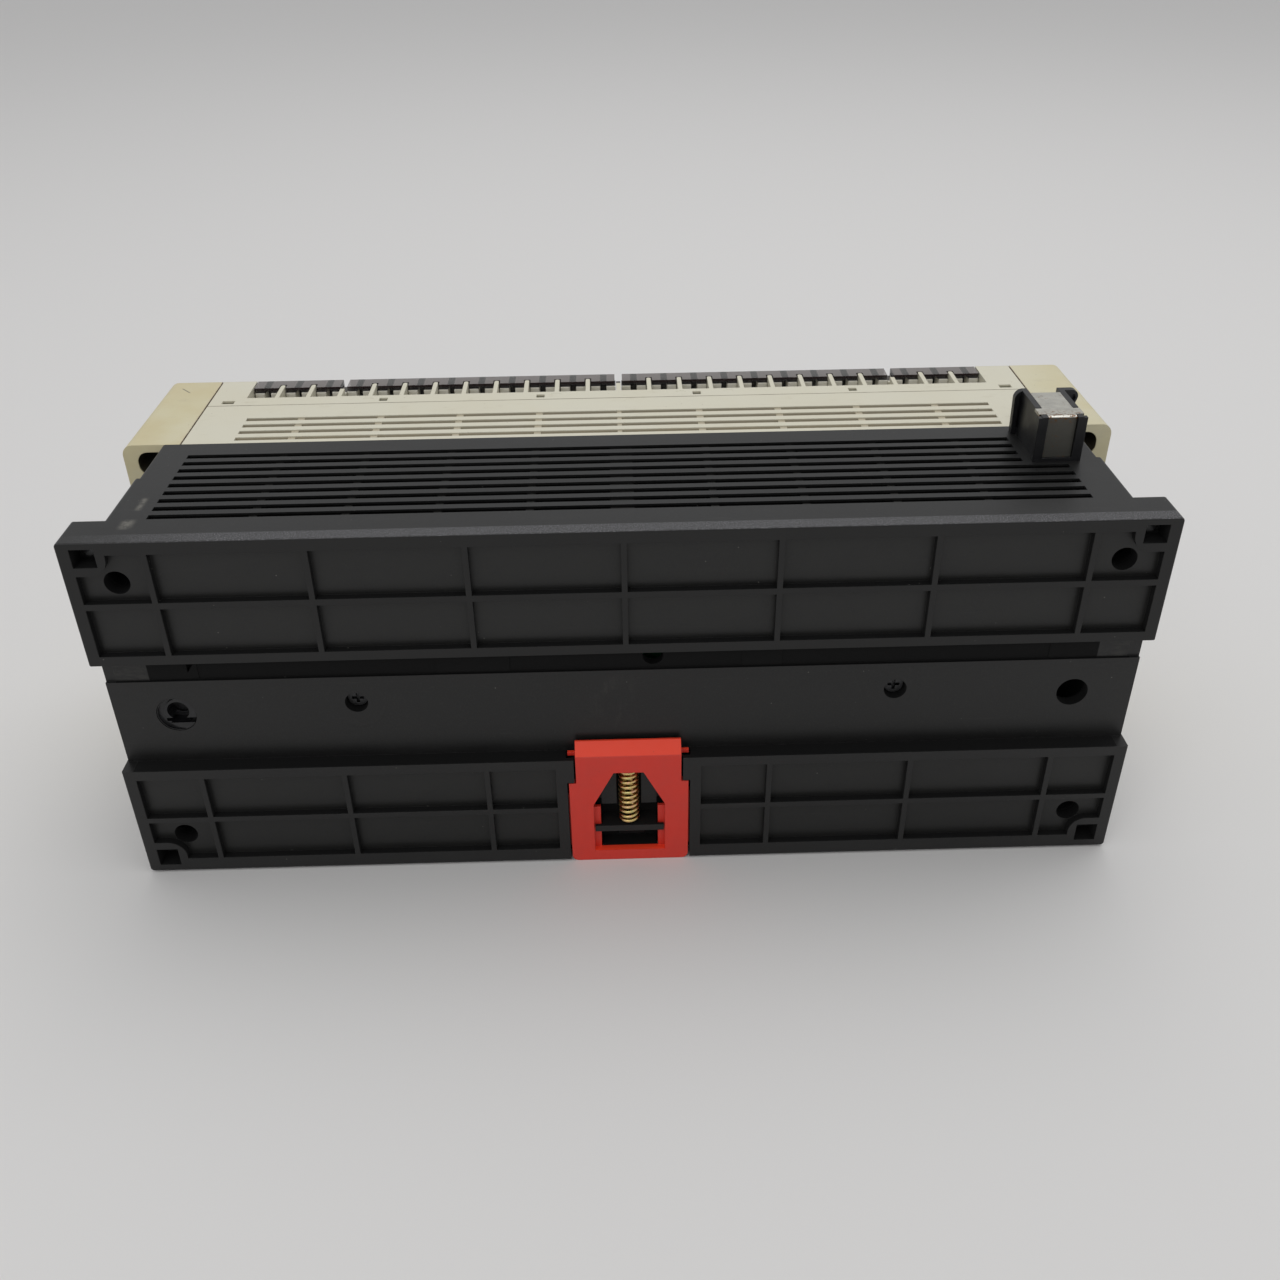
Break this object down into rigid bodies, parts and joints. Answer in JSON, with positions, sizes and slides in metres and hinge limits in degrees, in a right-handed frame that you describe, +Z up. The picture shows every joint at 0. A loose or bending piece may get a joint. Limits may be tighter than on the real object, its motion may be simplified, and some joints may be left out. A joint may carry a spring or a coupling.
{
  "type": "programmable logic controller base unit",
  "caption": "Brick-type programmable controller with a rail channel and spring latch at the back, vents, and hinged smoke covers over terminal rows.",
  "frame": {"origin": "middle of the bottom of the box, between the rear face and the front", "axes": "+X along the controller, to the right as seen from the back; +Y from the rail side to the front; +Z up"},
  "size_m": [0.2904, 0.11, 0.124],
  "materials": {
    "dark_housing": "fine moulded texture",
    "black_plastic": "satin",
    "cream_plastic": "fine moulded texture",
    "aged_cream_plastic": "fine moulded texture, yellowed",
    "spring_steel": "yellow zinc plated",
    "zinc_steel": "zinc plated",
    "black_steel": "black oxide",
    "terminal_metal": "nickel plated",
    "brass": "turned",
    "circuit_board": "solder resist",
    "led_window": "tinted",
    "red_lens": "clear lens",
    "core_steel": "varnished laminations",
    "winding_tape": "polyester tape",
    "capacitor_sleeve": "shrink sleeve",
    "aluminium_sheet": "rolled sheet",
    "fuse_glass": "clear",
    "relay_case": "moulded",
    "cable_grey": "ribbon",
    "smoke_plastic": "smoke tinted",
    "red_plastic": "fine moulded texture"
  },
  "bodies": {
    "housing": {"base_housing": "dark_housing", "latch_spring": "spring_steel", "rail_plug": "black_plastic", "assembly_screws": "black_steel", "channel_screws": "black_steel", "channel_nuts": "zinc_steel", "front_cover": "cream_plastic", "front_panel": "cream_plastic", "end_cap_left": "aged_cream_plastic", "end_cap_right": "aged_cream_plastic", "terminal_block_top": "black_plastic", "terminal_block_bottom": "black_plastic", "terminal_contacts_top": "terminal_metal", "terminal_contacts_bottom": "terminal_metal", "terminal_screws_top": "zinc_steel", "terminal_screws_bottom": "zinc_steel", "input_led_window": "led_window", "output_led_window": "led_window", "panel_board": "circuit_board", "programming_port": "black_plastic", "port_pins": "zinc_steel", "memory_socket": "black_plastic", "mode_switch": "black_plastic", "status_leds": "red_lens", "io_leds": "red_lens", "power_board": "circuit_board", "main_board": "circuit_board", "board_standoffs": "brass", "board_screws": "zinc_steel", "terminal_board_top": "circuit_board", "terminal_board_bottom": "circuit_board", "transformer_core": "core_steel", "transformer_winding": "winding_tape", "capacitors": "capacitor_sleeve", "heat_sink": "aluminium_sheet", "regulators": "black_plastic", "fuse_clips": "aluminium_sheet", "fuse": "fuse_glass", "relays": "relay_case", "optocouplers": "black_plastic", "logic_chips": "black_plastic", "battery": "zinc_steel", "battery_holder": "black_plastic", "ribbon_cables": "cable_grey", "board_connectors": "black_plastic", "bus_guard": "black_plastic", "bus_shield": "aluminium_sheet", "bus_connector": "black_plastic", "bus_pins": "zinc_steel"},
    "latch": {"din_latch": "red_plastic"},
    "cover_top_1": {"terminal_cover_top_1": "smoke_plastic"},
    "cover_top_2": {"terminal_cover_top_2": "smoke_plastic"},
    "cover_top_3": {"terminal_cover_top_3": "smoke_plastic"},
    "cover_top_4": {"terminal_cover_top_4": "smoke_plastic"},
    "cover_bottom_1": {"terminal_cover_bottom_1": "smoke_plastic"},
    "cover_bottom_2": {"terminal_cover_bottom_2": "smoke_plastic"},
    "cover_bottom_3": {"terminal_cover_bottom_3": "smoke_plastic"},
    "cover_bottom_4": {"terminal_cover_bottom_4": "smoke_plastic"},
    "door": {"port_door": "cream_plastic"},
    "lever": {"mode_lever": "black_plastic"}
  },
  "joints": [
    {"name": "latch_slide", "type": "slide", "parent": "housing", "child": "latch", "axis": [0, 0, -1], "range_m": [0, 0.005], "stiffness_N_per_m": 800, "springref_m": -0.01, "deforming": ["latch_spring"]},
    {"name": "cover_top_1_hinge", "type": "hinge", "parent": "housing", "child": "cover_top_1", "pos_m": [-0.10285, 0.0516, 0.088], "axis": [-1, 0, 0], "range_deg": [0, 100]},
    {"name": "cover_top_2_hinge", "type": "hinge", "parent": "housing", "child": "cover_top_2", "pos_m": [-0.04405, 0.0516, 0.088], "axis": [-1, 0, 0], "range_deg": [0, 100]},
    {"name": "cover_top_3_hinge", "type": "hinge", "parent": "housing", "child": "cover_top_3", "pos_m": [0.04405, 0.0516, 0.088], "axis": [-1, 0, 0], "range_deg": [0, 100]},
    {"name": "cover_top_4_hinge", "type": "hinge", "parent": "housing", "child": "cover_top_4", "pos_m": [0.10285, 0.0516, 0.088], "axis": [-1, 0, 0], "range_deg": [0, 100]},
    {"name": "cover_bottom_1_hinge", "type": "hinge", "parent": "housing", "child": "cover_bottom_1", "pos_m": [-0.10285, 0.0516, 0.023], "axis": [1, 0, 0], "range_deg": [0, 100]},
    {"name": "cover_bottom_2_hinge", "type": "hinge", "parent": "housing", "child": "cover_bottom_2", "pos_m": [-0.04405, 0.0516, 0.023], "axis": [1, 0, 0], "range_deg": [0, 100]},
    {"name": "cover_bottom_3_hinge", "type": "hinge", "parent": "housing", "child": "cover_bottom_3", "pos_m": [0.04405, 0.0516, 0.023], "axis": [1, 0, 0], "range_deg": [0, 100]},
    {"name": "cover_bottom_4_hinge", "type": "hinge", "parent": "housing", "child": "cover_bottom_4", "pos_m": [0.10285, 0.0516, 0.023], "axis": [1, 0, 0], "range_deg": [0, 100]},
    {"name": "door_hinge", "type": "hinge", "parent": "housing", "child": "door", "pos_m": [0.0417, 0.0536, 0.0555], "axis": [0, 0, 1], "range_deg": [0, 90]},
    {"name": "mode_slide", "type": "slide", "parent": "housing", "child": "lever", "axis": [0, 0, -1], "range_m": [0, 0.006]}
  ]
}
